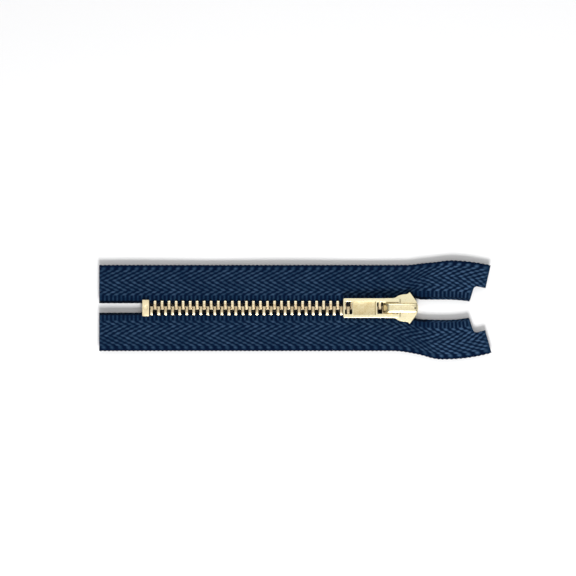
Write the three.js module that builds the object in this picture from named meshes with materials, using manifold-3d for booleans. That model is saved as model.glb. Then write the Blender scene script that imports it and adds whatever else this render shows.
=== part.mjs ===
// A closed-end metal zipper, done up and lying face up: two woven tapes with bead cords, crimped
// teeth, top and bottom stops, and an auto-lock slider with a hinged pull tab.
//
// Design frame, millimetres: +X runs along the chain towards the open end, +Y is the left tape
// (seen from the face with the open end up), +Z is the face side. X is 0 at the nose of the slider
// when the zipper is done up, and Z is 0 in the middle of the chain's thickness. The exported
// group is moved so that the origin is the middle of the underside of the bounding box.
//
// A zipper's tapes flex, so each side is made in five lengths: a tail that stays with the bottom
// stop, and lower, middle, upper and top lengths that turn a little about the bead as it opens.

import * as THREE from 'three';
import { mergeVertices } from 'three/addons/utils/BufferGeometryUtils.js';
import Module from 'manifold-3d';

const wasm = await Module();
wasm.setup();

// ---------------------------------------------------------------- driving dimensions

const PITCH = 2.6; // from one tooth to the next of the same row
const FIRST_TOOTH_X = -5; // top tooth of the right row; the left row is half a pitch lower
const TOP_STOP_X = -3.2; // middle of the two top stops, inside the slider's mouth
const TEETH_PER_LENGTH = 9;
const CHAIN_HALF = 1.2; // half the thickness of a tooth
const BEAD_Y = 1.6; // centre line to the bead edge of a tape, done up

const TAPE_WIDTH = 14.3;
const TAPE_HALF = 0.3; // half the thickness of the tape
const CORD_RADIUS = 0.47;
const CORD_OFFSET = 0.65; // bead edge to the middle of the bead cord
const TAPE_OFFSET = 1.25; // bead edge to where the flat tape starts

const STOP_X = -99.5; // upper face of the bottom stop
const STOP_LENGTH = 2.5;
const TAIL_X = -118; // cut end of the tapes below the stop

const SPLAY = 2.4; // how far the slider pushes each tape out
const CURL_START = 10; // the free tape ends bend back inwards from here
const CURL_MIDDLE = 7.15; // the width of tape, from the bead edge, that keeps its length there
const INNER_END = 20.4; // cut end of the bead half of the tape
const OUTER_END = 25.5; // cut end of the selvedge half, past the step
const STEP_WIDTH = 5.6; // bead edge to the step
const STEP_SLANT = 0.8;
const STEP_ROUND = 1.2; // the inner corner of the step
// How each free end lies past the slider: its curl, and how far it has drifted outwards.
const LEFT_LIE = { curlRadius: 70, drift: -0.6 };
const RIGHT_LIE = { curlRadius: 56, drift: 0.7 };
const DRIFT_LENGTH = 8;

const SLIDER_LENGTH = 12.9;
const NOSE_RADIUS = 5;
const WING = { x: -3.2, y: 5.9 };
const CHANNEL_HALF = 1.35; // half the height inside the slider
const PLATE = 0.8; // thickness of the slider's two plates
const PLATE_TOP = CHANNEL_HALF + PLATE;
const TAPE_SLOT_HALF = 0.45;
const TRUNNION = { x: -7.1, z: PLATE_TOP + 1.1, radius: 0.6 };
const TAB = { length: 20.6, half: 3.6, tilt: THREE.MathUtils.degToRad(3) };

// ---------------------------------------------------------------- materials

const metal = (color, roughness) => new THREE.MeshStandardMaterial({ color, roughness, metalness: 1 });
const cloth = (color) => new THREE.MeshStandardMaterial({ color, roughness: 0.9, metalness: 0 });
const MATERIAL = {
	tape: cloth(0x14294a),
	cord: cloth(0x10213c),
	teeth: metal(0xe8cf94, 0.3),
	stop: metal(0xdcc080, 0.35),
	slider: metal(0xf0dda6, 0.25),
	spring: metal(0xc8ccd0, 0.3)
};

// ---------------------------------------------------------------- solids

function toSolid(geometry) {
	const plain = geometry.index ? geometry.toNonIndexed() : geometry.clone();
	plain.deleteAttribute('normal');
	plain.deleteAttribute('uv');
	const merged = mergeVertices(plain, 1e-4);
	return new wasm.Manifold(new wasm.Mesh({
		numProp: 3,
		vertProperties: merged.attributes.position.array,
		triVerts: new Uint32Array(merged.index.array)
	}));
}

function toGeometry(solid) {
	const mesh = solid.getMesh();
	const geometry = new THREE.BufferGeometry();
	geometry.setAttribute('position', new THREE.BufferAttribute(mesh.vertProperties, 3));
	geometry.setIndex(new THREE.BufferAttribute(mesh.triVerts, 1));
	return geometry;
}

const join = (solids) => solids.reduce((whole, piece) => whole.add(piece));

const box = (x0, x1, y0, y1, z0, z1) => toSolid(
	new THREE.BoxGeometry(x1 - x0, y1 - y0, z1 - z0)
		.translate((x0 + x1) / 2, (y0 + y1) / 2, (z0 + z1) / 2)
);

// A plan outline, in x and y, made thick from z0 to z1.
const prismZ = (shape, z0, z1, curveSegments = 6) =>
	new THREE.ExtrudeGeometry(shape, { depth: z1 - z0, bevelEnabled: false, curveSegments })
		.translate(0, 0, z0);

// A side outline, in x and z, made wide from y0 to y1.
const prismY = (shape, y0, y1, curveSegments = 6) =>
	new THREE.ExtrudeGeometry(shape, { depth: y1 - y0, bevelEnabled: false, curveSegments })
		.rotateX(Math.PI / 2).translate(0, y1, 0);

// A section, in y and z, made long from x0 to x1.
const ALONG_X = new THREE.Matrix4().makeBasis(
	new THREE.Vector3(0, 1, 0), new THREE.Vector3(0, 0, 1), new THREE.Vector3(1, 0, 0)
);
const prismX = (shape, x0, x1) =>
	new THREE.ExtrudeGeometry(shape, { depth: x1 - x0, bevelEnabled: false })
		.applyMatrix4(ALONG_X).translate(x0, 0, 0);

const outline = (points) => new THREE.Shape(points.map(([a, b]) => new THREE.Vector2(a, b)));

// A closed outline that is the same on both sides of the x axis, from the path of its left half.
function mirrored(half, divisions) {
	const left = half.getPoints(divisions).filter((p) => p.y > 1e-6);
	const right = left.map((p) => new THREE.Vector2(p.x, -p.y)).reverse();
	return new THREE.Shape([...left, ...right].reverse());
}

function named(name, geometry, material) {
	const mesh = new THREE.Mesh(geometry, material);
	mesh.name = name;
	return mesh;
}

// ---------------------------------------------------------------- where a tape lies

const smooth = (t) => {
	const c = THREE.MathUtils.clamp(t, 0, 1);
	return c * c * (3 - 2 * c);
};

// How far a thread that is `across` from the bead edge has been pushed out at x. The slider bends
// the bead sharply, and the bend fades along the tape towards the selvedge.
function splay(x, across) {
	const share = Math.max(across - TAPE_OFFSET, 0) / (TAPE_WIDTH - TAPE_OFFSET);
	const start = THREE.MathUtils.lerp(-9.5, -6.5, share);
	const end = THREE.MathUtils.lerp(1.5, 12, share);
	return SPLAY * smooth((x - start) / (end - start));
}

// The plan position of a point of the left tape: `along` the chain, `across` from the bead edge.
function tapePoint(along, across, lie) {
	const turn = Math.max(along - CURL_START, 0) / lie.curlRadius;
	const radius = lie.curlRadius + across - CURL_MIDDLE;
	const drift = lie.drift * smooth(along / DRIFT_LENGTH);
	return new THREE.Vector2(
		Math.min(along, CURL_START) + radius * Math.sin(turn),
		BEAD_Y + across + splay(along, across) + drift - radius * (1 - Math.cos(turn))
	);
}

function steps(from, to, count) {
	return Array.from({ length: count + 1 }, (_, i) => from + (to - from) * i / count);
}

// ---------------------------------------------------------------- tape, cord and teeth

const GAP = 0.15; // half the gap between two lengths of one tape

function tapeLength(from, to) {
	return prismZ(outline([
		[from, BEAD_Y + TAPE_OFFSET], [to, BEAD_Y + TAPE_OFFSET],
		[to, BEAD_Y + TAPE_WIDTH], [from, BEAD_Y + TAPE_WIDTH]
	]), -TAPE_HALF, TAPE_HALF);
}

// The top length, pushed out by the slider, with its free end curled back and cut in a step.
function tapeTop(from, lie) {
	const at = (along, across) => tapePoint(along, across, lie);
	const bent = -9.5;
	return prismZ(new THREE.Shape([
		at(from, TAPE_OFFSET),
		...steps(bent, INNER_END, 22).map((x) => at(x, TAPE_OFFSET)),
		at(INNER_END + STEP_SLANT, STEP_WIDTH - STEP_ROUND),
		at(INNER_END + STEP_SLANT + 0.3 * STEP_ROUND, STEP_WIDTH - 0.3 * STEP_ROUND),
		at(INNER_END + STEP_SLANT + STEP_ROUND, STEP_WIDTH),
		at(OUTER_END, STEP_WIDTH),
		...steps(OUTER_END, bent, 22).map((x) => at(x, TAPE_WIDTH)),
		at(from, TAPE_WIDTH)
	]), -TAPE_HALF, TAPE_HALF);
}

function cordAlong(points) {
	const section = new THREE.Shape().absarc(0, 0, CORD_RADIUS, 0, 2 * Math.PI);
	const path = new THREE.CatmullRomCurve3(points);
	return new THREE.ExtrudeGeometry(section, {
		steps: points.length - 1, extrudePath: path, curveSegments: 8
	});
}

const cordLength = (from, to) =>
	cordAlong([from, to].map((x) => new THREE.Vector3(x, BEAD_Y + CORD_OFFSET, 0)));

function cordTop(from, lie) {
	const places = [from, ...steps(-10, INNER_END - 0.3, 18)];
	return cordAlong(places.map((x) => {
		const p = tapePoint(x, CORD_OFFSET, lie);
		return new THREE.Vector3(p.x, p.y, 0);
	}));
}

// A clip that is crimped over the bead: its section, across from the bead edge and through the
// thickness. The slot leaves the bead cord free.
function clipSection(head, headHalf, neck, half, legEnd) {
	const slotHalf = 0.68;
	const slotStart = 0.1;
	const upper = [
		[slotStart, slotHalf], [legEnd, slotHalf], [legEnd, half - 0.1],
		[neck, half], [head, headHalf]
	];
	const lower = upper.map(([across, z]) => [across, -z]).reverse();
	return outline([...lower, ...upper]);
}

const TOOTH_HALF = 0.6; // half a tooth's size along the chain
const LEG_END = 1.1; // how far the legs reach over the tape from its bead edge
const HEAD = { across: -2.25, peg: -1.6 };

// One tooth at the origin of its bead edge: two legs, and a head with a peg on the upper side and
// a hollow for the next tooth's peg on the lower side.
function makeTooth() {
	const section = clipSection(HEAD.across, 0.8, -0.1, CHAIN_HALF, LEG_END);
	const blank = toSolid(prismX(section, -TOOTH_HALF, TOOTH_HALF));
	const peg = toSolid(new THREE.CylinderGeometry(0.2, 0.36, 0.38, 6)
		.rotateZ(-Math.PI / 2).translate(TOOTH_HALF + 0.09, HEAD.peg, 0));
	const hollow = toSolid(new THREE.CylinderGeometry(0.25, 0.5, 0.4, 6)
		.rotateZ(-Math.PI / 2).translate(-TOOTH_HALF + 0.08, HEAD.peg, 0));
	return blank.add(peg).subtract(hollow);
}

const TOOTH = makeTooth();

// The bead edge and its direction at x.
function beadAt(x) {
	const slope = (splay(x + 0.05, 0) - splay(x - 0.05, 0)) / 0.1;
	return { x, y: BEAD_Y + splay(x, 0), turn: THREE.MathUtils.radToDeg(Math.atan(slope)) };
}

const placeOnBead = (solid, bead) => solid.rotate([0, 0, bead.turn]).translate([bead.x, bead.y, 0]);

// The teeth of one length of tape. A thin spine between the heads holds them as one body.
function teethRow(firstX, count) {
	const spine = { across: -0.62, half: 0.12 };
	const beads = Array.from({ length: count }, (_, i) => beadAt(firstX - i * PITCH));
	const pieces = beads.map((bead) => placeOnBead(TOOTH, bead));
	for (let i = 1; i < count; i++) {
		const [above, below] = [beads[i - 1], beads[i]];
		const rise = above.y - below.y;
		const turn = Math.atan2(rise, PITCH);
		const link = box(-PITCH / 2, PITCH / 2, -spine.half, spine.half, -spine.half, spine.half)
			.rotate([0, 0, THREE.MathUtils.radToDeg(turn)])
			.translate([(above.x + below.x) / 2, (above.y + below.y) / 2 + spine.across, 0]);
		pieces.push(link);
	}
	return toGeometry(join(pieces));
}

// ---------------------------------------------------------------- one side of the zipper

const LENGTHS = ['top', 'upper', 'middle', 'lower', 'tail'];
// The turning points, just above the tooth of the right row that starts the next length down.
const JOINTS_X = [1, 2, 3, 4].map((n) => FIRST_TOOTH_X - PITCH * (n * TEETH_PER_LENGTH - 0.75));

// Both sides are made as a left side; the right one is mirrored by its group. `teeth` is how many
// the side has on each length, from the top down.
function makeSide(side, firstToothX, teeth, lie) {
	const group = new THREE.Group();
	let toothX = firstToothX;
	LENGTHS.forEach((length, i) => {
		const from = i < JOINTS_X.length ? JOINTS_X[i] + GAP : TAIL_X;
		const to = i > 0 ? JOINTS_X[i - 1] - GAP : undefined;
		const tape = i > 0 ? tapeLength(from, to) : tapeTop(from, lie);
		const cord = i > 0 ? cordLength(from, to) : cordTop(from, lie);
		group.add(named(`${side}_tape_${length}`, tape, MATERIAL.tape));
		group.add(named(`${side}_cord_${length}`, cord, MATERIAL.cord));
		group.add(named(`${side}_teeth_${length}`, teethRow(toothX, teeth[i]), MATERIAL.teeth));
		toothX -= teeth[i] * PITCH;
	});
	const stopSection = clipSection(-0.45, 0.9, -0.1, 1.25, LEG_END + 0.1);
	const stop = placeOnBead(toSolid(prismX(stopSection, -0.9, 0.9)), beadAt(TOP_STOP_X));
	group.add(named(`${side}_top_stop`, toGeometry(stop), MATERIAL.stop));
	return group;
}

// ---------------------------------------------------------------- bottom stop

// An H section: a web between the two beads, and a plate over and under them.
function makeBottomStop() {
	const [half, web, inner, outer] = [3, 1.35, 0.75, 1.3];
	const right = [[web, -inner], [half, -inner], [half, -outer + 0.15], [half - 0.3, -outer]];
	const quarter = (sx, sz) => right.map(([y, z]) => [sx * y, -sz * z]);
	const section = outline([
		...quarter(-1, -1), ...quarter(1, -1).reverse(),
		...quarter(1, 1), ...quarter(-1, 1).reverse()
	]);
	return prismX(section, STOP_X - STOP_LENGTH, STOP_X);
}

// ---------------------------------------------------------------- slider

// Left half of the plates' outline: a round nose, a pointed wing, a shoulder and a straight tail.
function plateHalf() {
	const path = new THREE.Path();
	path.absarc(-NOSE_RADIUS, 0, NOSE_RADIUS, 0, Math.asin(3 / NOSE_RADIUS));
	path.lineTo(WING.x + 0.15, WING.y - 0.1);
	path.quadraticCurveTo(WING.x, WING.y, WING.x - 0.15, WING.y - 0.2);
	path.quadraticCurveTo(-3.7, 5.15, -4.5, 5.1);
	path.quadraticCurveTo(-6.9, 5, -8, 4.1);
	path.quadraticCurveTo(-8.6, 3.65, -9.6, 3.65);
	path.lineTo(-SLIDER_LENGTH + 0.6, 3.65);
	path.lineTo(-SLIDER_LENGTH, 3.05);
	return path;
}

// Left half of the space between the flanges, which end at -3.6 so that the front is open.
function channelHalf() {
	const path = new THREE.Path();
	path.moveTo(-SLIDER_LENGTH - 1, 3);
	path.lineTo(-9.4, 3);
	path.quadraticCurveTo(-8.3, 3, -7.6, 3.35);
	path.quadraticCurveTo(-6.6, 4.2, -3.6, 4.6);
	path.lineTo(-3.6, 8);
	path.lineTo(1, 8);
	return path;
}

function makeSliderBody() {
	const block = toSolid(prismZ(mirrored(plateHalf(), 6), -PLATE_TOP, PLATE_TOP));
	const channel = toSolid(prismZ(mirrored(channelHalf(), 5), -CHANNEL_HALF, CHANNEL_HALF));
	const tapeSlot = box(-SLIDER_LENGTH - 1, 1, -8, 8, -TAPE_SLOT_HALF, TAPE_SLOT_HALF);
	const pawlHole = box(-9.5, -8.3, -1.35, -0.5, 0, PLATE_TOP + 1);
	const divider = toSolid(prismZ(outline([
		[-4.4, -0.1], [-0.8, -1], [-0.5, -0.7], [-0.5, 0.7], [-0.8, 1], [-4.4, 0.1]
	]), -CHANNEL_HALF - 0.3, CHANNEL_HALF + 0.3));
	const lugs = [[-2.3, -1.1], [-12, -11.2]]
		.map(([x0, x1]) => box(x0, x1, -0.95, 0.95, PLATE_TOP - 0.2, PLATE_TOP + 1.15));
	return toGeometry(join([
		block.subtract(channel).subtract(tapeSlot).subtract(pawlHole), divider, ...lugs
	]));
}

// The cap over the spring: an arch with the tab's trunnion passing through its two sides.
function makeCap() {
	const base = PLATE_TOP + 0.12;
	const [top, ceiling] = [PLATE_TOP + 3.1, PLATE_TOP + 2.6];
	const outer = new THREE.Shape();
	outer.moveTo(-0.5, base);
	outer.lineTo(-0.55, top - 0.75);
	outer.quadraticCurveTo(-0.65, top - 0.3, -1.3, top - 0.18);
	outer.quadraticCurveTo(-2.3, top, -3.6, top);
	outer.lineTo(-11, top);
	outer.quadraticCurveTo(-12.8, top, -SLIDER_LENGTH, base + 0.8);
	outer.lineTo(-SLIDER_LENGTH, base);
	const inner = new THREE.Shape();
	inner.moveTo(-0.95, base - 1);
	inner.lineTo(-0.98, base + 0.9);
	inner.quadraticCurveTo(-1.3, ceiling, -2.9, ceiling);
	inner.lineTo(-10.8, ceiling);
	inner.quadraticCurveTo(-12.3, ceiling, -12.4, base + 0.8);
	inner.lineTo(-12.4, base - 1);
	const ridge = outline([
		[-1.7, base - 1], [1.7, base - 1], [1.7, top - 0.8], [1.4, top - 0.25], [0.8, top],
		[-0.8, top], [-1.4, top - 0.25], [-1.7, top - 0.8]
	]);
	const trunnionArch = new THREE.Shape();
	trunnionArch.moveTo(TRUNNION.x + 1.1, base - 1);
	trunnionArch.absarc(TRUNNION.x, TRUNNION.z, 1.1, 0, Math.PI);
	trunnionArch.lineTo(TRUNNION.x - 1.1, base - 1);
	return toGeometry(
		toSolid(prismY(outer, -2, 2, 5))
			.intersect(toSolid(prismX(ridge, -SLIDER_LENGTH - 1, 1)))
			.subtract(toSolid(prismY(inner, -1.25, 1.25, 5)))
			.subtract(toSolid(prismY(trunnionArch, -2, 2, 5)))
	);
}

// A leaf that rests on the front lug and runs over the trunnion, with a pawl that goes down
// through the top plate into a gap of the right row.
function makeLockSpring() {
	const low = TRUNNION.z + 0.72;
	const thick = 0.22;
	const leaf = toSolid(prismY(outline([
		[-1.35, low - 0.5], [-2.5, low - 0.45], [-3.3, low], [-8.6, low], [-8.6, low - 0.5],
		[-9.2, low - 0.5], [-9.2, low + thick], [-3.2, low + thick], [-2.4, low - 0.23],
		[-1.35, low - 0.28]
	]), -1.1, 1.1));
	const pawl = box(-9.2, -8.6, -1.1, -0.72, 0.8, low);
	return toGeometry(leaf.add(pawl));
}

const roundedBox = (x0, x1, half, r) => {
	const shape = new THREE.Shape();
	shape.moveTo(x0 + r, -half);
	shape.lineTo(x1 - r, -half);
	shape.quadraticCurveTo(x1, -half, x1, -half + r);
	shape.lineTo(x1, half - r);
	shape.quadraticCurveTo(x1, half, x1 - r, half);
	shape.lineTo(x0 + r, half);
	shape.quadraticCurveTo(x0, half, x0, half - r);
	shape.lineTo(x0, -half + r);
	shape.quadraticCurveTo(x0, -half, x0 + r, -half);
	return shape;
};

// The pull tab with its trunnion on the y axis: a window that straddles the cap, a sunk panel and
// a small window near the free end.
function makePullTab() {
	const half = TRUNNION.radius;
	const sunk = 0.15;
	const plate = toSolid(prismZ(roundedBox(-TAB.length, 1, TAB.half, 0.6), -half, half, 3));
	const front = box(0, 2, -5, 5, -1, 1);
	const capWindow = toSolid(prismZ(roundedBox(-8.1, 2, 2.15, 0.5), -1, 1, 3));
	const endWindow = toSolid(prismZ(roundedBox(-19.95, -17.25, 2.3, 0.4), -1, 1, 3));
	const panel = box(-16.9, -8.7, -2.45, 2.45, half - sunk, 1);
	const trunnion = toSolid(new THREE.CylinderGeometry(half, half, 2 * TAB.half - 0.6, 12));
	return toGeometry(join([
		plate.subtract(front).subtract(capWindow).subtract(endWindow).subtract(panel),
		trunnion
	]));
}

function makeSlider() {
	const slider = new THREE.Group();
	slider.add(named('slider_body', makeSliderBody(), MATERIAL.slider));
	slider.add(named('slider_cap', makeCap(), MATERIAL.slider));
	slider.add(named('lock_spring', makeLockSpring(), MATERIAL.spring));
	const hinge = new THREE.Group();
	hinge.position.set(TRUNNION.x, 0, TRUNNION.z);
	hinge.rotation.y = -TAB.tilt; // the free end lies on the chain
	hinge.add(named('pull_tab', makePullTab(), MATERIAL.slider));
	slider.add(hinge);
	return slider;
}

// ---------------------------------------------------------------- assembly

const zipper = new THREE.Group();
zipper.add(makeSide('left', FIRST_TOOTH_X - PITCH / 2, [8, 9, 9, 9, 1], LEFT_LIE));
const right = makeSide('right', FIRST_TOOTH_X, [9, 9, 9, 9, 1], RIGHT_LIE);
right.scale.y = -1;
zipper.add(right);
zipper.add(named('bottom_stop', makeBottomStop(), MATERIAL.stop));
zipper.add(makeSlider());

const bounds = new THREE.Box3().setFromObject(zipper, true);
const centre = bounds.getCenter(new THREE.Vector3());
zipper.position.set(-centre.x, -centre.y, -bounds.min.z);

export default zipper;
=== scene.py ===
"""The looks of a closed-end metal zipper: herringbone tapes with bead cords, crimped brass teeth
and stops, and an auto-lock slider with its cap, spring and pull tab.

Shapes are made in millimetres in the design frame: X along the chain with 0 at the slider's nose,
Y across it, Z up with 0 in the middle of the chain. finish_mesh() takes them to the row frame.
"""

import math
import random

import bmesh
import bpy
import numpy as np
from mathutils import Euler, Matrix, Vector


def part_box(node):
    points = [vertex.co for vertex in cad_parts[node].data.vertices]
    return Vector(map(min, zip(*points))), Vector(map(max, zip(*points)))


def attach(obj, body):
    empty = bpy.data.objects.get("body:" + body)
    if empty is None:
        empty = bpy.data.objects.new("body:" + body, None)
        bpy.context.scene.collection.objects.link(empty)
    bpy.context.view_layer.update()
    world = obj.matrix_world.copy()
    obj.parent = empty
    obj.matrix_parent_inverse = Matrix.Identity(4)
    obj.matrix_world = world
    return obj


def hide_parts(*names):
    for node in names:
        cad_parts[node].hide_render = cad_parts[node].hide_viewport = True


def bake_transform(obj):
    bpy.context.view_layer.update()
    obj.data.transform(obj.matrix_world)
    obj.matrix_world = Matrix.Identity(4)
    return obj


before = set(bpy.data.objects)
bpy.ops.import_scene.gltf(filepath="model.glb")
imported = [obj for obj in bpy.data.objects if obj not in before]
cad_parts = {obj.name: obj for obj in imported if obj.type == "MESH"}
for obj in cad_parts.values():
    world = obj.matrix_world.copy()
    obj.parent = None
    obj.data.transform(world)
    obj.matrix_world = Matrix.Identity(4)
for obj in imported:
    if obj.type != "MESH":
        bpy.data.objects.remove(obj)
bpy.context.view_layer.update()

# ---------------------------------------------------------------- the design, in millimetres

MM = 0.001
NOSE_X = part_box("slider_body")[1].x
TAPE_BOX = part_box("left_tape_tail")
CHAIN_Z = (TAPE_BOX[0].z + TAPE_BOX[1].z) / 2
CHAIN_Y = (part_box("bottom_stop")[0].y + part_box("bottom_stop")[1].y) / 2
TO_ROW = Matrix.Translation((NOSE_X, CHAIN_Y, CHAIN_Z)) @ Matrix.Scale(MM, 4)

PITCH = 2.6
FIRST_TOOTH_X = {"left": -6.3, "right": -5.0}
TEETH = {"left": (8, 9, 9, 9, 1), "right": (9, 9, 9, 9, 1)}
TOP_STOP_X = -3.2
LENGTHS = ("top", "upper", "middle", "lower", "tail")
FIRST_JOINT_X = -26.45
JOINT_STEP = 23.4
JOINTS_X = [FIRST_JOINT_X - JOINT_STEP * n for n in range(4)]
BEAD_Y = 1.6
TAPE_WIDTH = 14.3
TAPE_OFFSET = 1.25
TAPE_THICK = 0.5
CORD_OFFSET = 0.65
STOP_X = -99.5
STOP_LENGTH = 2.5
TAIL_X = -118

SPLAY = 2.4  # how far the slider pushes each tape out
SPLAY_X = (-9.5, 1.5)  # from and to where it does so at the bead
SPLAY_LAG = (3, 10.5)  # and how much further along at the selvedge
LATE = {"left": 1.5, "right": -3}  # more of the same lag, on each side
CURL_START = 10  # the free ends bend back inwards from here
CURL_MIDDLE = 7.15  # how far out from the bead edge a thread keeps its length there
CURL_RADIUS = {"left": 70, "right": 56}
DRIFT = {"left": -0.6, "right": 0.7}  # how far outwards each free end lies
DRIFT_LENGTH = 8
RELAX = 0.45  # how far inwards its bead edge lies besides
TUCK = {"left": 1.05, "right": 0}  # and how far just past the slider's mouth
TUCK_START, TUCK_LENGTH = -2, 3.5
RELAX_WIDTH = 5  # the width of tape that lies inwards with the bead edge
INNER_END = 20.4
OUTER_END = 25.5
STEP_WIDTH = 5.6
STEP_SLANT = 0.8
STEP_ROUND = 1.2

LEG_END = 1.1  # how far a tooth's legs reach over the tape from its bead edge
CHANNEL_HALF = 1.35  # half the channel's height, in which the teeth run
FLANGE_GAP = 0.45  # half the gap between the flanges, in which the tapes run
PLATE_TOP = 2.15
SLIDER_LENGTH = 12.9
NOSE_RADIUS = 5
WING = (-3.2, 5.9)
REAR_HALF = 3.65
CHANNEL_REAR_HALF = 3.2
CAP_TOP = PLATE_TOP + 3.1
CAP_CEILING = PLATE_TOP + 2.6
PAWL = (-9.2, -8.6)
TRUNNION = (-7.1, 0, PLATE_TOP + 1.1)
TAB_HALF = 3.6
TAB_LENGTH = 20.6
TAB_THICK = 1.2
TAB_TILT = math.radians(3)  # the free end lies on the chain


def smooth(t):
    t = np.clip(t, 0, 1)
    return t * t * (3 - 2 * t)


def splay(x, across, late=0):
    """How far a thread that is `across` from the bead edge has been pushed out at x."""
    share = np.maximum(across - TAPE_OFFSET, 0) / (TAPE_WIDTH - TAPE_OFFSET)
    start = SPLAY_X[0] + (SPLAY_LAG[0] + late) * share
    end = SPLAY_X[1] + (SPLAY_LAG[1] + late) * share
    return SPLAY * smooth((x - start) / (end - start))


def tape_point(along, across, side):
    """The plan position of a point of a tape, given along the chain and across from the bead edge."""
    radius = CURL_RADIUS[side]
    turn = np.maximum(along - CURL_START, 0) / radius
    reach = radius + across - CURL_MIDDLE
    x = np.minimum(along, CURL_START) + reach * np.sin(turn)
    y = BEAD_Y + across + splay(along, across, LATE[side]) - reach * (1 - np.cos(turn))
    past = smooth(along / DRIFT_LENGTH)
    inwards = RELAX * past + TUCK[side] * (smooth((along - TUCK_START) / TUCK_LENGTH) - past)
    y = y + DRIFT[side] * past - inwards * (1 - smooth((across - 0.5) / RELAX_WIDTH))
    return x, (y if side == "left" else -y)


# ---------------------------------------------------------------- node and mesh helpers


def new_material(name):
    mat = bpy.data.materials.new(name)
    mat.use_nodes = True
    nodes = mat.node_tree.nodes
    return mat, mat.node_tree, nodes["Principled BSDF"]


def add_node(tree, kind, **settings):
    node = tree.nodes.new(kind)
    for key, value in settings.items():
        if key in node.inputs:
            node.inputs[key].default_value = value
        else:
            setattr(node, key, value)
    return node


def math_node(tree, operation, a, b):
    node = add_node(tree, "ShaderNodeMath", operation=operation)
    for socket, value in zip(node.inputs, (a, b)):
        if isinstance(value, (int, float)):
            socket.default_value = value
        else:
            tree.links.new(value, socket)
    return node.outputs[0]


def noise(tree, coords, scale, detail, roughness=0.5):
    node = add_node(tree, "ShaderNodeTexNoise", Scale=scale, Detail=detail, Roughness=roughness)
    tree.links.new(coords, node.inputs["Vector"])
    return node.outputs["Fac"]


def ramp(tree, fac, stops):
    node = add_node(tree, "ShaderNodeValToRGB")
    elements = node.color_ramp.elements
    while len(elements) < len(stops):
        elements.new(0.5)
    for element, (position, color) in zip(elements, stops):
        element.position = position
        element.color = (*color, 1)
    tree.links.new(fac, node.inputs["Fac"])
    return node.outputs["Color"]


def value_range(tree, fac, low, high):
    node = add_node(tree, "ShaderNodeMapRange")
    node.inputs["To Min"].default_value = low
    node.inputs["To Max"].default_value = high
    tree.links.new(fac, node.inputs["Value"])
    return node.outputs[0]


def bump(tree, height, distance, strength):
    node = add_node(tree, "ShaderNodeBump", Distance=distance, Strength=strength)
    tree.links.new(height, node.inputs["Height"])
    return node.outputs["Normal"]


def add_painted_light(mesh):
    """Store each face's painted light: faces that look up or down are painted bright, as if lit from
    above, and those that stand on edge get painted shade.
    """
    count = len(mesh.polygons)
    normals = np.empty(count * 3, np.float32)
    mesh.polygons.foreach_get("normal", normals)
    lit_share = smooth((np.abs(normals.reshape(-1, 3)[:, 2]) - 0.15) / 0.6).astype(np.float32)
    mesh.attributes.new("painted_light", "FLOAT", "FACE").data.foreach_set("value", lit_share)


def paint_shade_area(mesh, share, *ranges):
    """Painted shade: faces that look up, with their centres inside a box, keep only a share of their
    painted light.
    """
    for face, stored in zip(mesh.polygons, mesh.attributes["painted_light"].data):
        inside = all(low < place < high for place, (low, high) in zip(face.center, ranges))
        if inside and face.normal.z > 0.8:
            stored.value *= share


def finish_mesh(obj, mat, smooth_angle=40):
    """Take a millimetre mesh to the row frame and give it its finish."""
    obj.data.transform(obj.matrix_world)
    obj.matrix_world = Matrix.Identity(4)
    obj.data.transform(TO_ROW)
    obj.data.materials.clear()
    obj.data.materials.append(mat)
    obj.data.shade_smooth()
    obj.data.set_sharp_from_angle(angle=math.radians(smooth_angle))
    return obj


def new_object(name, mesh):
    obj = bpy.data.objects.new(name, mesh)
    bpy.context.scene.collection.objects.link(obj)
    return obj


def applied(obj):
    """Bake the object's modifiers into its mesh."""
    graph = bpy.context.evaluated_depsgraph_get()
    mesh = bpy.data.meshes.new_from_object(obj.evaluated_get(graph))
    obj.modifiers.clear()
    obj.data = mesh
    return obj


def prism(points, low, high, basis="xy"):
    """A closed outline made thick from low to high along the axis that basis leaves out."""
    order = {"xy": (0, 1, 2), "xz": (0, 2, 1), "yz": (2, 0, 1)}[basis]
    bm = bmesh.new()
    rings = []
    for level in (low, high):
        coords = [(a, b, level) for a, b in points]
        rings.append([bm.verts.new([c[i] for i in order]) for c in coords])
    count = len(points)
    bm.faces.new(rings[0])
    bm.faces.new(rings[1])
    for i in range(count):
        j = (i + 1) % count
        bm.faces.new([rings[0][i], rings[0][j], rings[1][j], rings[1][i]])
    bmesh.ops.recalc_face_normals(bm, faces=bm.faces)
    mesh = bpy.data.meshes.new("prism")
    bm.to_mesh(mesh)
    bm.free()
    return new_object("prism", mesh)


def box(x0, x1, y0, y1, z0, z1):
    return prism([(x0, y0), (x1, y0), (x1, y1), (x0, y1)], z0, z1)


def cylinder(radius, low, high, sides, centre, basis="xy"):
    turns = [2 * math.pi * i / sides for i in range(sides)]
    points = [(centre[0] + radius * math.cos(t), centre[1] + radius * math.sin(t)) for t in turns]
    return prism(points, low, high, basis)


def combine(base, operation, *others):
    """Cut, join or intersect, and remove the tools."""
    for other in others:
        modifier = base.modifiers.new("combine", "BOOLEAN")
        modifier.operation = operation
        modifier.solver = "EXACT"
        modifier.object = other
        applied(base)
        bpy.data.objects.remove(other)


SHARP_ANGLE = 35  # degrees between faces, from where an edge counts as sharp


def soften(obj, width, segments):
    """Round the sharp edges, as casting or stamping leaves them."""
    modifier = obj.modifiers.new("soften", "BEVEL")
    modifier.width = width
    modifier.segments = segments
    modifier.limit_method = "ANGLE"
    modifier.angle_limit = math.radians(SHARP_ANGLE)
    modifier.use_clamp_overlap = True
    return applied(obj)


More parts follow.
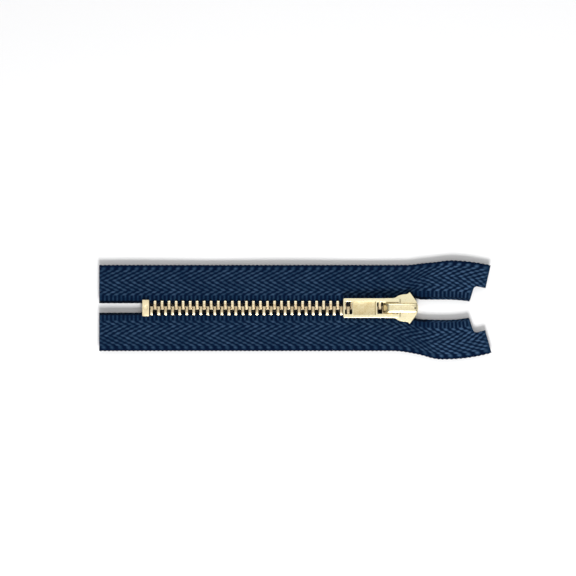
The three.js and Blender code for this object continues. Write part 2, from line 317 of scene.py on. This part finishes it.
def arc(centre, radius, start, end, count):
    """Points of an arc, from and to angles in degrees."""
    turns = [math.radians(start + (end - start) * i / count) for i in range(count + 1)]
    return [(centre[0] + radius * math.cos(t), centre[1] + radius * math.sin(t)) for t in turns]


def curve(start, control, end, count):
    """Points of a quadratic curve, without its start."""
    points = []
    for i in range(1, count + 1):
        t = i / count
        weights = ((1 - t) ** 2, 2 * t * (1 - t), t * t)
        points.append(tuple(
            sum(w * p[k] for w, p in zip(weights, (start, control, end))) for k in (0, 1)
        ))
    return points


def mirrored(half):
    """A closed outline from its left half. Its points on the centre line aren't doubled."""
    return half + [(x, -y) for x, y in reversed(half) if y > 1e-6]


def rounded_rectangle(x0, x1, y0, y1, radius):
    corners = [(x1, y1, 0), (x0, y1, 90), (x0, y0, 180), (x1, y0, 270)]
    points = []
    for x, y, turn in corners:
        centre_x = x - math.copysign(radius, x - (x0 + x1) / 2)
        centre_y = y - math.copysign(radius, y - (y0 + y1) / 2)
        points += arc((centre_x, centre_y), radius, turn, turn + 90, 6)
    return points


# ---------------------------------------------------------------- materials


def cloth_material(name, valley, middle, crown):
    """Dyed polyester yarn. The mesh carries how high each point stands in the weave, and the colour
    follows it: painted shade in the valleys, painted highlight on the crowns.
    """
    mat, tree, shader = new_material(name)
    weave = add_node(tree, "ShaderNodeAttribute", attribute_name="weave").outputs["Fac"]
    coords = add_node(tree, "ShaderNodeTexCoord").outputs["Object"]
    speckle = noise(tree, coords, 2600, 3)
    cloud = noise(tree, coords, 160, 2)
    varied = math_node(tree, "ADD", weave, value_range(tree, speckle, -0.25, 0.25))
    varied = math_node(tree, "ADD", varied, value_range(tree, cloud, -0.1, 0.1))
    varied = math_node(tree, "MULTIPLY", varied, 0.7)
    # Painted highlight: the brightest stop, for the highest crowns.
    bright = tuple(1.75 * part for part in crown)
    color = ramp(tree, varied, [(0.02, valley), (0.26, middle), (0.62, crown), (0.95, bright)])
    tree.links.new(color, shader.inputs["Base Color"])
    fibre = noise(tree, coords, 6000, 2)
    tree.links.new(bump(tree, fibre, 0.00003, 0.6), shader.inputs["Normal"])
    tree.links.new(value_range(tree, fibre, 0.62, 0.85), shader.inputs["Roughness"])
    shader.inputs["Specular IOR Level"].default_value = 0.035
    return mat


SCRATCH_SCALE = 5400
SCRATCH_DEPTH = 0.000012


def metal_material(name, color, shade_color, roughness, least):
    """Plated or solid metal, with painted light: faces that look up are painted bright, walls get a
    painted shade colour, and crevices a darker painted shade from ambient occlusion. An open wall
    keeps at least a share of its painted light."""
    mat, tree, shader = new_material(name)
    coords = add_node(tree, "ShaderNodeTexCoord").outputs["Object"]
    tone = value_range(tree, noise(tree, coords, 450, 3), -0.2, 0.35)
    mottle = value_range(tree, noise(tree, coords, 1500, 2), -0.2, 0.25)
    painted_light = add_node(tree, "ShaderNodeAttribute", attribute_name="painted_light").outputs["Fac"]
    # Painted shade: the colour goes dark where ambient occlusion finds a crevice.
    open_air = add_node(tree, "ShaderNodeAmbientOcclusion", Distance=0.0007).outputs["AO"]
    clear = ramp(tree, open_air, [(0.3, (0, 0, 0)), (0.8, (1, 1, 1))])
    # The painted light of each face, with a tone that varies at random.
    light_and_tone = math_node(tree, "ADD", painted_light, math_node(tree, "ADD", tone, mottle))
    light_and_tone = math_node(tree, "MAXIMUM", light_and_tone, least)
    light_and_tone = math_node(tree, "MULTIPLY", light_and_tone, clear)
    crevice_shade = tuple(0.12 * part for part in shade_color)
    shader.inputs["Metallic"].default_value = 1
    base = ramp(tree, light_and_tone, [(0.0, crevice_shade), (0.3, shade_color), (0.95, color)])
    tree.links.new(base, shader.inputs["Base Color"])
    stretched = add_node(tree, "ShaderNodeMapping")
    stretched.inputs["Scale"].default_value = (0.25, 1, 1)
    tree.links.new(coords, stretched.inputs["Vector"])
    fine = noise(tree, stretched.outputs[0], SCRATCH_SCALE, 3, 0.6)
    worn = value_range(tree, fine, roughness - 0.06, roughness + 0.08)
    tree.links.new(worn, shader.inputs["Roughness"])
    tree.links.new(bump(tree, fine, SCRATCH_DEPTH, 0.35), shader.inputs["Normal"])
    return mat


def floor_material():
    """White paper with painted shadow: darker, by ambient occlusion, where the part nearly covers it.
    """
    mat, tree, shader = new_material("floor")
    open_sky = add_node(tree, "ShaderNodeAmbientOcclusion", Distance=0.003)
    color = ramp(tree, open_sky.outputs["AO"], [(0.34, (0, 0, 0)), (0.58, (0.88, 0.88, 0.885))])
    tree.links.new(color, shader.inputs["Base Color"])
    shader.inputs["Roughness"].default_value = 0.9
    return mat


# From the valleys' painted shade through the navy dye to the crowns' painted highlight.
TAPE_MAT = cloth_material(
    "navy_tape", (0.0003, 0.005, 0.022), (0.0042, 0.019, 0.048), (0.022, 0.046, 0.088)
)
# The cord's colours are darker than the tape's: painted shade, for where it lies among the teeth.
CORD_MAT = cloth_material(
    "navy_cord", (0.0002, 0.001, 0.004), (0.0015, 0.008, 0.024), (0.012, 0.03, 0.065)
)
# Each metal's second colour is the painted shade of its walls; its crevices get a darker painted
# shade.
TEETH_MAT = metal_material("teeth_brass", (0.97, 0.84, 0.57), (0.34, 0.2, 0.075), 0.3, 0.12)
STOP_MAT = metal_material("stop_brass", (0.93, 0.8, 0.52), (0.4, 0.26, 0.11), 0.34, 0.25)
SLIDER_MAT = metal_material("slider_gold", (0.95, 0.86, 0.57), (0.6, 0.45, 0.2), 0.27, 0.35)
SPRING_MAT = metal_material("spring_steel", (0.75, 0.76, 0.78), (0.3, 0.3, 0.31), 0.3, 0.3)

# ---------------------------------------------------------------- tapes

SELVEDGE = 1.9  # in from the outer edge: where the edge weave ends,
FIRST_TURN = 5.8  # where the ribs' slant turns,
SECOND_TURN = 9.3  # where it turns back,
LADDER = 11.2  # and where the ribs run straight across
YARN = 0.87
LEAN = 2.05
REPEAT = 3.05
RIB_HEIGHT = 0.09
SCALLOP = 0.09
EDGE_WIDTH = 0.35  # where the selvedge thins out
WAVE = 0.12  # how far the loose outer part of a tape rises and falls
WAVE_PHASE = {"left": 0.6, "right": 2}
FUSED_LENGTH = 2.5  # how far in from the cut the yarns are melted together
TAPE_STEP = 0.2
TAPE_INNER = 0.55  # how far out from the bead edge the flat weave starts


def herringbone(along, down):
    """How high the weave stands, from 0 to 1, at `down` in from the selvedge. Each yarn floats
    over the weft once a repeat, and the float moves along from one yarn to the next, which makes
    the slanting, dashed ribs. The slant turns twice across the tape."""
    lane = np.floor(down / YARN)
    across_yarn = down / YARN - lane - 0.5
    slanted = (lane + 0.5 + 0.5 * across_yarn) * YARN
    back = slanted - 2 * (SECOND_TURN - FIRST_TURN)
    zigzag = np.maximum(FIRST_TURN - np.abs(slanted - FIRST_TURN), back)
    phase = 2 * math.pi * (along + LEAN * zigzag) / REPEAT
    ribs = np.clip(0.45 + 0.7 * np.cos(phase), 0, 1)
    ladder = np.clip(0.2 + 0.4 * np.cos(4 * math.pi * along / REPEAT), 0, 1)
    edge = np.clip(0.35 + 0.6 * np.cos(2 * math.pi * (along + 0.33 * down) / REPEAT), 0, 1)
    # Painted shade: the outermost yarns are drawn low in the weave, and so dark, where the edge rolls
    # off.
    edge = edge * smooth((down - EDGE_WIDTH) / 0.7)
    floats = np.where(down < SELVEDGE, edge, np.where(down > LADDER, ladder, ribs))
    scatter = np.sin(12.99 * lane + 78.23 * np.floor(phase / (2 * math.pi) + 0.5)) * 43758.5
    floats = floats * (0.7 + 0.45 * (scatter - np.floor(scatter)))
    crown = np.sqrt(np.clip(1 - (1.9 * across_yarn) ** 2, 0, 1))
    dashed = 0.55 + 0.3 * smooth(along / 10)
    return floats * np.where(down > LADDER, 1, 1 - dashed * (1 - crown))


def tape_end(across):
    """Where each thread is cut at the open end: a step, with a rounded inner corner."""
    slant = INNER_END + STEP_SLANT * (across - TAPE_OFFSET) / (STEP_WIDTH - TAPE_OFFSET)
    corner = np.clip((across - STEP_WIDTH + STEP_ROUND) / STEP_ROUND, 0, 1)
    inner = slant + STEP_ROUND * (1 - np.sqrt(1 - corner * corner))
    return np.where(across < STEP_WIDTH - 1e-6, inner, OUTER_END)


def tape_rows():
    """How far from the bead edge each row of mesh points lies: six to a yarn, and the edges."""
    down = np.arange(0, TAPE_WIDTH - TAPE_INNER, YARN / 6)
    rows = np.sort(np.append(TAPE_WIDTH - down, [TAPE_INNER, STEP_WIDTH]))
    return rows[np.append(True, np.diff(rows) > 1e-6)]


def shell_faces(quads, shift):
    """The quads, the same ones turned over on the points `shift` further on, and the walls that
    join the two along their rim."""
    edges = np.concatenate([quads[:, [k, (k + 1) % 4]] for k in range(4)])
    keys = edges[:, 0] * shift + edges[:, 1]
    reverse = edges[:, 1] * shift + edges[:, 0]
    rim = edges[~np.isin(keys, reverse)]
    walls = np.stack([rim[:, 1], rim[:, 0], rim[:, 0] + shift, rim[:, 1] + shift], -1)
    return np.concatenate([quads, quads[:, ::-1] + shift, walls])


def woven_object(name, points, faces, weave):
    """An object whose points carry how high they stand in the weave, for the material."""
    mesh = bpy.data.meshes.new(name)
    mesh.from_pydata(points.tolist(), [], faces)
    stored = mesh.attributes.new("weave", "FLOAT", "POINT")
    stored.data.foreach_set("value", weave.astype(np.float32))
    return new_object(name, mesh)


def tape_piece(name, side, start, end):
    """One length of tape, a woven face and back joined round the edge. end None is the cut end."""
    rows = tape_rows()
    last = OUTER_END if end is None else end
    count = int(round((last - start) / TAPE_STEP))
    columns = np.linspace(start, last, count + 1)
    ends = tape_end(rows) if end is None else np.full(len(rows), last)
    along = np.minimum(columns[:, None], ends[None, :])
    across = np.broadcast_to(rows[None, :], along.shape)
    weave = herringbone(along, TAPE_WIDTH - across)
    if end is None:
        fused = smooth((along - ends[None, :] + FUSED_LENGTH) / FUSED_LENGTH)
        weave = weave * (1 - 0.6 * fused) + 0.18 * fused
    weave = weave * (1 + 0.5 * smooth(along / 12))  # painted light: lighter towards the open end
    outermost = across >= TAPE_WIDTH - 1e-6
    scallop = SCALLOP * np.cos(4 * math.pi * along / REPEAT)
    x, y = tape_point(along, across + np.where(outermost, scallop, 0), side)
    lift = WAVE * np.sin(along / 9 + WAVE_PHASE[side]) * smooth((across - 4) / 10)
    edge_thin = 1 - 0.45 * smooth((across - TAPE_WIDTH + EDGE_WIDTH) / EDGE_WIDTH)
    half = TAPE_THICK / 2 * edge_thin
    relief = RIB_HEIGHT * (weave - 0.5) * edge_thin
    top = np.stack([x, y, lift + half + relief], -1).reshape(-1, 3)
    bottom = np.stack([x, y, lift - half - relief], -1).reshape(-1, 3)
    width = len(rows)
    i, j = np.meshgrid(np.arange(count), np.arange(width - 1), indexing="ij")
    keep = (columns[i] < ends[j] - 1e-6) & (columns[i] < ends[j + 1] - 1e-6)
    first = (i * width + j)[keep]
    quads = np.stack([first, first + width, first + width + 1, first + 1], -1)
    if side == "right":
        quads = quads[:, ::-1]
    used, faces = np.unique(shell_faces(quads, len(top)), return_inverse=True)
    points = np.concatenate([top, bottom])[used]
    both = np.tile(weave.ravel(), 2)[used]
    obj = woven_object(name, points, faces.reshape(-1, 4).tolist(), both)
    return finish_mesh(obj, TAPE_MAT, 60)


# ---------------------------------------------------------------- bead cords

CORD_RADIUS = 0.5
CORD_SIDES = 20
CORD_TWIST = 2.1
CORD_END = INNER_END - 0.3
PLY_HEIGHT = 0.09


def cord_piece(name, side, start, end):
    """A length of bead cord: three plies laid round each other, closed at both ends."""
    count = int(round((end - start) / TAPE_STEP))
    along = np.linspace(start, end, count + 1)
    turns = np.linspace(0, 2 * math.pi, CORD_SIDES, endpoint=False)
    plies = np.abs(np.cos(1.5 * (turns[None, :] - 2 * math.pi * along[:, None] / CORD_TWIST / 3)))
    radius = CORD_RADIUS + PLY_HEIGHT * (plies - 0.6)
    across = CORD_OFFSET + radius * np.cos(turns)
    x, y = tape_point(np.broadcast_to(along[:, None], across.shape), across, side)
    points = np.stack([x, y, radius * np.sin(turns)], -1).reshape(-1, 3)
    faces = []
    for i in range(count):
        for k in range(CORD_SIDES):
            a, b = i * CORD_SIDES + k, i * CORD_SIDES + (k + 1) % CORD_SIDES
            faces.append((a, b, b + CORD_SIDES, a + CORD_SIDES))
    faces.append(tuple(reversed(range(CORD_SIDES))))
    faces.append(tuple(count * CORD_SIDES + k for k in range(CORD_SIDES)))
    if side == "left":
        faces = [tuple(reversed(f)) for f in faces]
    cord_unshaded = 0.2 + 0.7 * smooth((along[:, None] - 2) / 4)  # painted shade: dark where the cord runs among the teeth
    obj = woven_object(name, points, faces, (cord_unshaded * plies).ravel())
    return finish_mesh(obj, CORD_MAT, 60)


# ---------------------------------------------------------------- lengths and the bends between


def body_name(side, length):
    return "closed_end" if length == "tail" else f"{side}_{length}"


def add_fabric(side):
    """Each side's tape and cord, in four pieces that each reach across one hinge."""
    middles = [(a + b) / 2 for a, b in zip(JOINTS_X, JOINTS_X[1:])]
    starts = [*middles, TAIL_X]
    ends = [None, *middles]
    for i, (start, end) in enumerate(zip(starts, ends)):
        upper, lower = LENGTHS[i], LENGTHS[i + 1]
        tape = tape_piece(f"{side}_tape_{i + 1}", side, start, end)
        cord_end = CORD_END if end is None else end
        cord = cord_piece(f"{side}_bead_cord_{i + 1}", side, start, cord_end)
        for piece, kind in ((tape, "tape"), (cord, "cord")):
            covered = [upper] if i < 3 else [upper, lower]
            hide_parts(*[f"{side}_{kind}_{length}" for length in covered])
            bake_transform(piece)


# ---------------------------------------------------------------- teeth and stops


def clip_section(head, head_half, neck, half, leg_end):
    """The side view of a clip crimped over the bead, as a closed outline of (across, z)."""
    slot_half, slot_start = 0.66, 0.1
    upper = [
        (slot_start + 0.12, slot_half - 0.2), (slot_start + 0.3, slot_half), (leg_end, slot_half),
        (leg_end, half - 0.42), (leg_end - 0.1, half - 0.18), (leg_end - 0.38, half - 0.04),
        (0.3, half), (neck, half), (head + 0.6, head_half + 0.06), (head + 0.25, head_half + 0.03),
        (head, head_half - 0.18),
    ]
    return upper + [(a, -z) for a, z in reversed(upper)]


HEAD_END = -2.25
PEG_Y = -1.6
RAMP = (-1.85, -1.05)  # the part of the head whose rear slopes away above and below
STRAY = 1.8  # degrees that a crimped tooth may sit askew


def tooth_mesh():
    """One tooth: crimped legs, a slim neck and a wide head with a peg and a hollow."""
    tooth = prism(clip_section(HEAD_END, 0.96, -0.1, 1.2, LEG_END), -1, 1, "yz")
    half = [(0.42, HEAD_END), (0.57, -2.18), (0.61, -2.02), (0.6, PEG_Y)]
    half += curve((0.6, PEG_Y), (0.52, -1.1), (0.45, -0.6), 6)
    half += curve((0.45, -0.6), (0.43, 0), (0.45, 0.4), 6)
    half += [(0.46, 0.6)] + curve((0.46, 0.6), (0.46, LEG_END), (0.1, LEG_END), 8)
    plan = prism(half + [(-x, y) for x, y in reversed(half)], -2, 2)
    combine(tooth, "INTERSECT", plan)
    for s in (-1, 1):
        slope = [(-0.7, s * 0.5), (-0.7, s * 1.5), (-0.05, s * 1.5)]
        combine(tooth, "DIFFERENCE", prism(slope, *RAMP, "xz"))
    soften(tooth, 0.13, 3)
    peg = cylinder(0.3, 0.4, 0.82, 16, (PEG_Y, 0), "yz")
    soften(peg, 0.14, 3)
    hollow = cylinder(0.42, -0.9, -0.42, 16, (PEG_Y, 0), "yz")
    soften(hollow, 0.1, 2)
    combine(tooth, "UNION", peg)
    combine(tooth, "DIFFERENCE", hollow)
    mesh = tooth.data
    bpy.data.objects.remove(tooth)
    mesh.name = "tooth"
    add_painted_light(mesh)
    # Painted shade on the heads, where they interlock.
    paint_shade_area(mesh, 0.55, (-1, 1), (-3, -0.7), (0, 2))
    return mesh


def bead_place(x, side):
    """Where a clip sits on the bead at x, its across direction outwards."""
    slope = float(splay(x + 0.05, 0) - splay(x - 0.05, 0)) / 0.1
    y = BEAD_Y + float(splay(x, 0))
    place = Matrix.Translation((x, y, 0)) @ Matrix.Rotation(math.atan(slope), 4, "Z")
    return place if side == "left" else Matrix.Scale(-1, 4, (0, 1, 0)) @ place


def add_clip(name, mesh, mat, side, x, body, node, dice=None):
    """A copy of the mesh, crimped on the bead. Dice set it a little askew."""
    obj = new_object(name, mesh.copy())
    place = bead_place(x, side)
    if dice:
        askew = Euler([math.radians(dice.uniform(-STRAY, STRAY)) for _ in range(3)])
        place = place @ askew.to_matrix().to_4x4()
    obj.data.transform(place)
    if side == "right":
        obj.data.flip_normals()
    finish_mesh(obj, mat)
    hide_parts(node)
    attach(obj, body)


def add_teeth(side, mesh, dice):
    x = FIRST_TOOTH_X[side]
    number = 1
    for length, count in zip(LENGTHS, TEETH[side]):
        for _ in range(count):
            add_clip(
                f"{side}_tooth_{number:02d}", mesh, TEETH_MAT, side, x,
                body_name(side, length), f"{side}_teeth_{length}", dice,
            )
            x -= PITCH
            number += 1


def add_top_stops():
    stop = prism(clip_section(-0.45, 0.95, 0, 1.22, LEG_END + 0.1), -0.9, 0.9, "yz")
    soften(stop, 0.16, 3)
    add_painted_light(stop.data)
    for side in ("left", "right"):
        add_clip(
            f"{side}_top_stop_clip", stop.data, STOP_MAT, side, TOP_STOP_X,
            body_name(side, "top"), f"{side}_top_stop",
        )
    bpy.data.objects.remove(stop)


GROOVE = (1.35, 3.05)  # where the beads lie in the bottom stop, out from the middle


def add_bottom_stop():
    """An H section staple whose plates are pressed over and under both beads."""
    stop = box(STOP_X - STOP_LENGTH, STOP_X, -3, 3, -1.3, 1.3)
    for side in (-1, 1):
        groove = sorted((side * GROOVE[0], side * GROOVE[1]))
        combine(stop, "DIFFERENCE", box(STOP_X - 5, STOP_X + 5, *groove, -0.75, 0.75))
    dent = cylinder(0.75, 1.16, 2, 32, (STOP_X - STOP_LENGTH / 2, 0))
    combine(stop, "DIFFERENCE", dent)
    soften(stop, 0.22, 4)
    stop.name = "bottom_stop_staple"
    add_painted_light(stop.data)
    finish_mesh(stop, STOP_MAT)
    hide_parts("bottom_stop")
    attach(stop, "closed_end")


# ---------------------------------------------------------------- slider


def plate_outline():
    """Both plates in plan: a round nose, a pointed wing each side and a straight rear."""
    turn = math.degrees(math.asin(3 / NOSE_RADIUS))
    half = arc((-NOSE_RADIUS, 0), NOSE_RADIUS, 0, turn, 12)
    x, y = WING
    half += [(x + 0.15, y - 0.1)]
    half += curve((x + 0.15, y - 0.1), WING, (x - 0.15, y - 0.2), 4)
    half += curve((x - 0.15, y - 0.2), (-3.7, 5.15), (-4.5, 5.1), 6)
    half += curve((-4.5, 5.1), (-6.9, 5), (-8, 4.1), 10)
    rear, y = -SLIDER_LENGTH, REAR_HALF
    half += curve((-8, 4.1), (-8.6, y), (-9.6, y), 8)
    half += [(rear + 0.6, y)] + curve((rear + 0.6, y), (rear, y), (rear, y - 0.6), 5)
    return mirrored(half)


def channel_outline():
    """The Y that the teeth run in. It reaches past the plates at the rear and the mouth."""
    rear, y = -SLIDER_LENGTH - 1, CHANNEL_REAR_HALF
    half = [(rear, y), (-9.4, y)] + curve((-9.4, y), (-8.3, y), (-7.6, 3.5), 6)
    half += curve((-7.6, 3.5), (-6.6, 4.25), (-3.6, 4.6), 8) + [(-3.6, 8), (1, 8)]
    return mirrored(half)


def add_slider_body():
    """Two plates joined by the divider at the nose, with flanges that turn in at the sides."""
    body = prism(plate_outline(), -PLATE_TOP, PLATE_TOP)
    channel = prism(channel_outline(), -CHANNEL_HALF, CHANNEL_HALF)
    slot = box(-SLIDER_LENGTH - 1, 1, -8, 8, -FLANGE_GAP, FLANGE_GAP)
    pawl_hole = box(-9.5, -8.3, -1.35, -0.5, 0, PLATE_TOP + 1)
    combine(body, "DIFFERENCE", channel, slot, pawl_hole)
    soften(body, 0.22, 4)
    wedge = mirrored([(-0.5, 0), (-0.5, 0.7), (-0.8, 1), (-4.4, 0.1), (-4.4, 0)])
    divider = prism(wedge, -CHANNEL_HALF - 0.3, CHANNEL_HALF + 0.3)
    lug = box(-2.3, -1.1, -0.95, 0.95, PLATE_TOP - 0.4, PLATE_TOP + 1.15)
    combine(body, "UNION", divider, soften(lug, 0.1, 2))
    stakes = [cylinder(0.45, PLATE_TOP - 0.08, PLATE_TOP + 1, 20, (-5.1, s * 2.9)) for s in (-1, 1)]
    combine(body, "DIFFERENCE", *stakes)
    body.name = "slider_casting"
    add_painted_light(body.data)
    finish_mesh(body, SLIDER_MAT)
    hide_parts("slider_body")
    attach(body, "slider")


def add_cap():
    """The arch over the spring, with a raised ridge, and open under the tab's trunnion."""
    base, top, ceiling = PLATE_TOP, CAP_TOP, CAP_CEILING
    rear = -SLIDER_LENGTH
    side_view = [(-0.3, base), (-0.35, top - 0.75)]
    side_view += curve((-0.35, top - 0.75), (-0.45, top - 0.3), (-1.1, top - 0.18), 8)
    side_view += curve((-1.1, top - 0.18), (-2.2, top), (-3.6, top), 6)
    side_view += [(-10.1, top)]
    side_view += curve((-10.1, top), (-11.6, top), (rear, base + 0.6), 14) + [(rear, base)]
    cap = prism(side_view, -2, 2, "xz")
    end_view = [(1.7, base - 1), (1.7, top - 0.9)]
    end_view += curve((1.7, top - 0.9), (1.68, top - 0.34), (1.4, top - 0.24), 8)
    end_view += curve((1.4, top - 0.24), (1.14, top - 0.04), (0.8, top), 8)
    end_view += [(0.6, top - 0.04), (0.3, top - 0.1)]
    section = prism(end_view + [(-y, z) for y, z in reversed(end_view)], rear - 1, 1, "yz")
    combine(cap, "INTERSECT", section)
    hollow = [(-0.95, base - 1), (-0.98, base + 0.9)]
    hollow += curve((-0.98, base + 0.9), (-1.3, ceiling), (-2.9, ceiling), 8)
    hollow += [(-9.6, ceiling)] + curve((-9.6, ceiling), (-10.8, ceiling), (-11, base + 0.8), 8)
    hollow += [(-11, base - 1)]
    inside = prism(hollow, -1.25, 1.25, "xz")
    arch = [(TRUNNION[0] + 1.1, base - 1)] + arc((TRUNNION[0], TRUNNION[2]), 1.1, 0, 180, 20)
    arch += [(TRUNNION[0] - 1.1, base - 1)]
    opening = prism(arch, -3, 3, "xz")
    peep = box(-1.45, -0.95, -0.3, 0.3, base + 1, top + 1)
    scoop = cylinder(1.1, base + 0.9, top + 1, 40, (-12.35, 0))
    combine(cap, "DIFFERENCE", inside, opening, peep, scoop)
    soften(cap, 0.14, 3)
    cap.name = "slider_crown"
    add_painted_light(cap.data)
    # Painted shade on the top of the crown and, much darker, on the floor seen through the rear
    # scoop.
    paint_shade_area(cap.data, 0.72, (-10.6, -0.8), (-1, 0.85), (base + 2, top + 1))
    paint_shade_area(cap.data, 0.12, (-13, -11.2), (-1.2, 1.2), (base + 0.7, base + 1.2))
    finish_mesh(cap, SLIDER_MAT)
    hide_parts("slider_cap")
    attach(cap, "slider")


def add_spring():
    """A leaf over the trunnion, with one corner bent down to be the lock's pawl."""
    low = TRUNNION[2] + 0.72
    high = low + 0.22
    side_view = [
        (-1.35, low - 0.5), (-2.5, low - 0.45), (-3.3, low), (PAWL[1], low), (PAWL[1], low - 0.5),
        (PAWL[0], low - 0.5), (PAWL[0], high), (-3.2, high), (-2.4, high - 0.45), (-1.35, high - 0.5),
    ]
    spring = prism(side_view, -1.1, 1.1, "xz")
    pawl = box(*PAWL, -1.1, -0.72, 0.8, low)
    combine(spring, "UNION", pawl)
    soften(spring, 0.05, 2)
    spring.name = "lock_spring_leaf"
    add_painted_light(spring.data)
    finish_mesh(spring, SPRING_MAT)
    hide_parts("lock_spring")
    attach(spring, "lock")


PANEL = (-16.9, -8.8, -2.45, 2.45)
PANEL_DEPTH = 0.15
WINDOW = (-19.95, -17.25, -2.3, 2.3)
CAP_SLOT = (-8.1, 2, -2.15, 2.15)  # its front end is past the hinge, so the slot is open there


def add_pull_tab():
    """A stamped tab: a raised rim round a sunk panel, a slot that straddles the cap, a window."""
    half = TAB_THICK / 2
    tab = prism(rounded_rectangle(-TAB_LENGTH, 1, -TAB_HALF, TAB_HALF, 0.45), -half, half)
    front = box(0, 2, -5, 5, -1, 1)
    cap_slot = prism(rounded_rectangle(*CAP_SLOT, 0.5), -1, 1)
    window = prism(rounded_rectangle(*WINDOW, 0.4), -1, 1)
    combine(tab, "DIFFERENCE", front, cap_slot, window)
    soften(tab, 0.16, 4)
    panel = prism(rounded_rectangle(*PANEL, 0.2), half - PANEL_DEPTH, 1)
    back_panel = prism(rounded_rectangle(*PANEL, 0.2), -1, PANEL_DEPTH - half)
    groove = box(-8.9, -8.55, *PANEL[2:], half - 0.4, 1)
    combine(tab, "DIFFERENCE", panel, back_panel, groove)
    soften(tab, 0.02, 2)
    trunnion = cylinder(half, 0.3 - TAB_HALF, TAB_HALF - 0.3, 32, (0, 0), "xz")
    combine(tab, "UNION", trunnion)
    add_painted_light(tab.data)
    # Painted shade on the floor of the sunk panel.
    paint_shade_area(tab.data, 0.5, (-17, -8.5), (-2.5, 2.5), (0, half - 0.1))
    tab.data.transform(Matrix.Translation(TRUNNION) @ Matrix.Rotation(-TAB_TILT, 4, "Y"))
    tab.name = "pull_tab_plate"
    finish_mesh(tab, SLIDER_MAT)
    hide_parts("pull_tab")
    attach(tab, "pull_tab")


# ---------------------------------------------------------------- floor, light and camera


def add_stage():
    """A white floor, a hair under the part. Its size is in metres."""
    mesh = bpy.data.meshes.new("floor")
    reach, low = 3, -0.00005
    corners = [(x * reach, y * reach, low) for x, y in ((-1, -1), (1, -1), (1, 1), (-1, 1))]
    mesh.from_pydata(corners, [], [(0, 1, 2, 3)])
    mesh.materials.append(floor_material())
    new_object("floor", mesh)


def add_world():
    """A dim room with a broad soft light overhead, which bright metal can mirror."""
    world = bpy.data.worlds.new("studio")
    world.use_nodes = True
    tree = world.node_tree
    direction = add_node(tree, "ShaderNodeTexCoord").outputs["Generated"]
    split = add_node(tree, "ShaderNodeSeparateXYZ")
    tree.links.new(direction, split.inputs[0])
    greys = [(0.0, 0.1), (0.45, 0.22), (0.88, 0.62), (0.97, 0.95), (1.0, 0.98)]  # by height
    sky = ramp(tree, split.outputs["Z"], [(height, (grey, grey, grey)) for height, grey in greys])
    toward = add_node(tree, "ShaderNodeVectorMath", operation="DOT_PRODUCT")
    toward.inputs[1].default_value = (0, 0.8, 0.6)
    tree.links.new(direction, toward.inputs[0])
    glow = add_node(tree, "ShaderNodeMapRange")
    glow.inputs["From Min"].default_value = 0.92
    glow.inputs["To Max"].default_value = 2.2
    tree.links.new(toward.outputs["Value"], glow.inputs["Value"])
    both = add_node(tree, "ShaderNodeMix", data_type="RGBA", blend_type="ADD")
    both.inputs["Factor"].default_value = 1
    tree.links.new(sky, both.inputs[6])
    tree.links.new(glow.outputs[0], both.inputs[7])
    tree.links.new(both.outputs[2], tree.nodes["Background"].inputs["Color"])
    bpy.context.scene.world = world


KEY_PLACE = (0.05, -0.6, 0.6)
KEY_SIZE = 0.3
KEY_POWER = 7.5


def add_key_light():
    data = bpy.data.lights.new("key", "AREA")
    data.size = KEY_SIZE
    data.energy = KEY_POWER
    light = new_object("key", data)
    light.location = KEY_PLACE
    light.rotation_euler = (-Vector(KEY_PLACE)).to_track_quat("-Z", "Y").to_euler()


PICTURE_WIDTH = 213.3  # millimetres across the picture at the height of the chain
CAMERA_LENS = 200
CAMERA_SENSOR = 36
CAMERA_CENTRE = (-48.1, 7.4)


def add_camera():
    """A long lens that looks straight down."""
    data = bpy.data.cameras.new("camera")
    data.lens = CAMERA_LENS
    data.sensor_width = CAMERA_SENSOR
    camera = new_object("camera", data)
    height = PICTURE_WIDTH * CAMERA_LENS / CAMERA_SENSOR
    camera.location = TO_ROW @ Vector((*CAMERA_CENTRE, height))
    data.clip_end = 10
    bpy.context.scene.camera = camera
    bpy.context.scene.view_settings.view_transform = "Standard"


add_camera()
add_world()
add_key_light()
add_stage()
dice = random.Random(7)
tooth = tooth_mesh()
for side in ("left", "right"):
    add_fabric(side)
    add_teeth(side, tooth, dice)
add_top_stops()
add_bottom_stop()
add_slider_body()
add_cap()
add_spring()
add_pull_tab()
